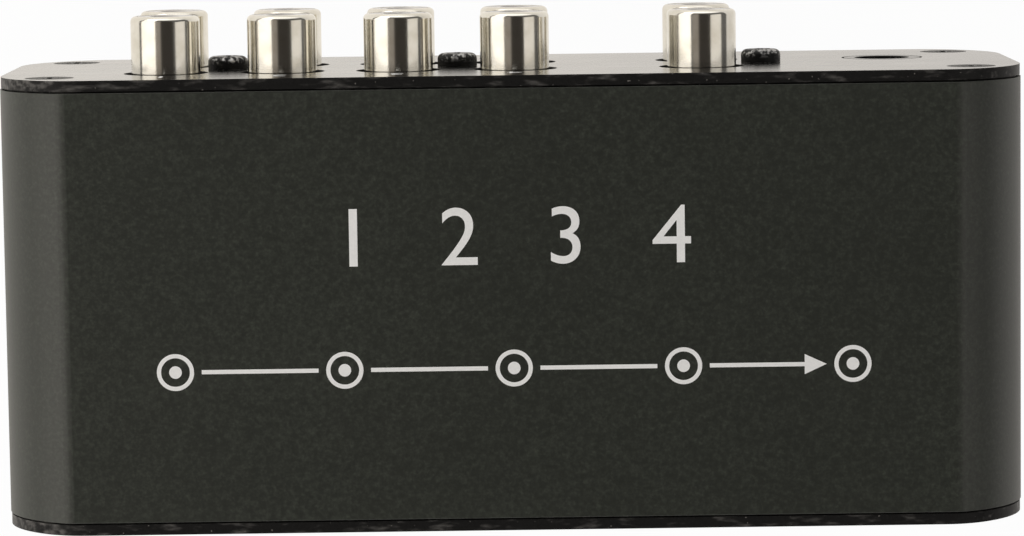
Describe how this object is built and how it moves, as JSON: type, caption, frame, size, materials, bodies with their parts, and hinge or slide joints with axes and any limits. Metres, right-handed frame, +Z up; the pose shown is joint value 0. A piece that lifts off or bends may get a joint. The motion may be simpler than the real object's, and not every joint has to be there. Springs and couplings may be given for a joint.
{
  "type": "audio video selector switch",
  "caption": "Flat black extruded box that switches one of four stereo sources to one output, with paired phono sockets and a power inlet behind and a select button in front.",
  "frame": {"origin": "on the surface the box stands on, under the middle of its bounding box", "axes": "+X along the socket rows towards the power inlet, +Y out of the socket panel, +Z up"},
  "size_m": [0.1226, 0.064, 0.047],
  "materials": {
    "shell": "black anodised, fine satin",
    "panel": "black anodised, satin",
    "black_screw": "black zinc, semi-gloss",
    "board": "green solder mask",
    "socket_block": "black moulded plastic",
    "contact": "tinned spring brass",
    "nickel": "bright nickel plate",
    "insulator": "white moulded plastic",
    "inlet": "black moulded plastic",
    "button": "black, slightly glossy",
    "plunger": "natural moulded plastic",
    "switch_housing": "black moulded plastic",
    "switch_base": "brown laminate",
    "spring": "spring steel wire",
    "tinned_wire": "tinned",
    "lamp": "green tinted diffuse plastic",
    "window": "dark red tinted plastic",
    "chip": "black moulded plastic",
    "capacitor": "dark blue sleeve",
    "foot": "black rubber"
  },
  "bodies": {
    "case": {"top_shell": "shell", "bottom_shell": "shell", "rear_panel": "panel", "front_panel": "panel", "rear_panel_screws": "black_screw", "front_panel_screws": "black_screw", "main_board": "board", "inputs_1_2_block": "socket_block", "inputs_3_4_block": "socket_block", "output_block": "socket_block", "inputs_1_2_contacts": "contact", "inputs_3_4_contacts": "contact", "output_contacts": "contact", "socket_block_screws": "black_screw", "input_1_upper_sleeve": "nickel", "input_1_lower_sleeve": "nickel", "input_2_upper_sleeve": "nickel", "input_2_lower_sleeve": "nickel", "input_3_upper_sleeve": "nickel", "input_3_lower_sleeve": "nickel", "input_4_upper_sleeve": "nickel", "input_4_lower_sleeve": "nickel", "output_upper_sleeve": "nickel", "output_lower_sleeve": "nickel", "input_1_upper_insulator": "insulator", "input_1_lower_insulator": "insulator", "input_2_upper_insulator": "insulator", "input_2_lower_insulator": "insulator", "input_3_upper_insulator": "insulator", "input_3_lower_insulator": "insulator", "input_4_upper_insulator": "insulator", "input_4_lower_insulator": "insulator", "output_upper_insulator": "insulator", "output_lower_insulator": "insulator", "power_inlet_body": "inlet", "power_inlet_pin": "nickel", "power_inlet_leaf": "contact", "switch_housing": "switch_housing", "switch_base": "switch_base", "switch_spring": "spring", "switch_terminals": "tinned_wire", "channel_1_lamp": "lamp", "channel_2_lamp": "lamp", "channel_3_lamp": "lamp", "channel_4_lamp": "lamp", "lamp_leads": "tinned_wire", "remote_window": "window", "remote_receiver": "chip", "left_switch_chip": "chip", "right_switch_chip": "chip", "controller_chip": "chip", "voltage_regulator": "chip", "capacitors": "capacitor", "rubber_feet": "foot"},
    "button": {"select_button": "button", "switch_plunger": "plunger"}
  },
  "joints": [
    {"name": "select_press", "type": "slide", "parent": "case", "child": "button", "axis": [0, 1, 0], "range_m": [0, 0.002], "stiffness_N_per_m": 500, "springref_m": -0.002, "deforming": ["switch_spring"]}
  ]
}
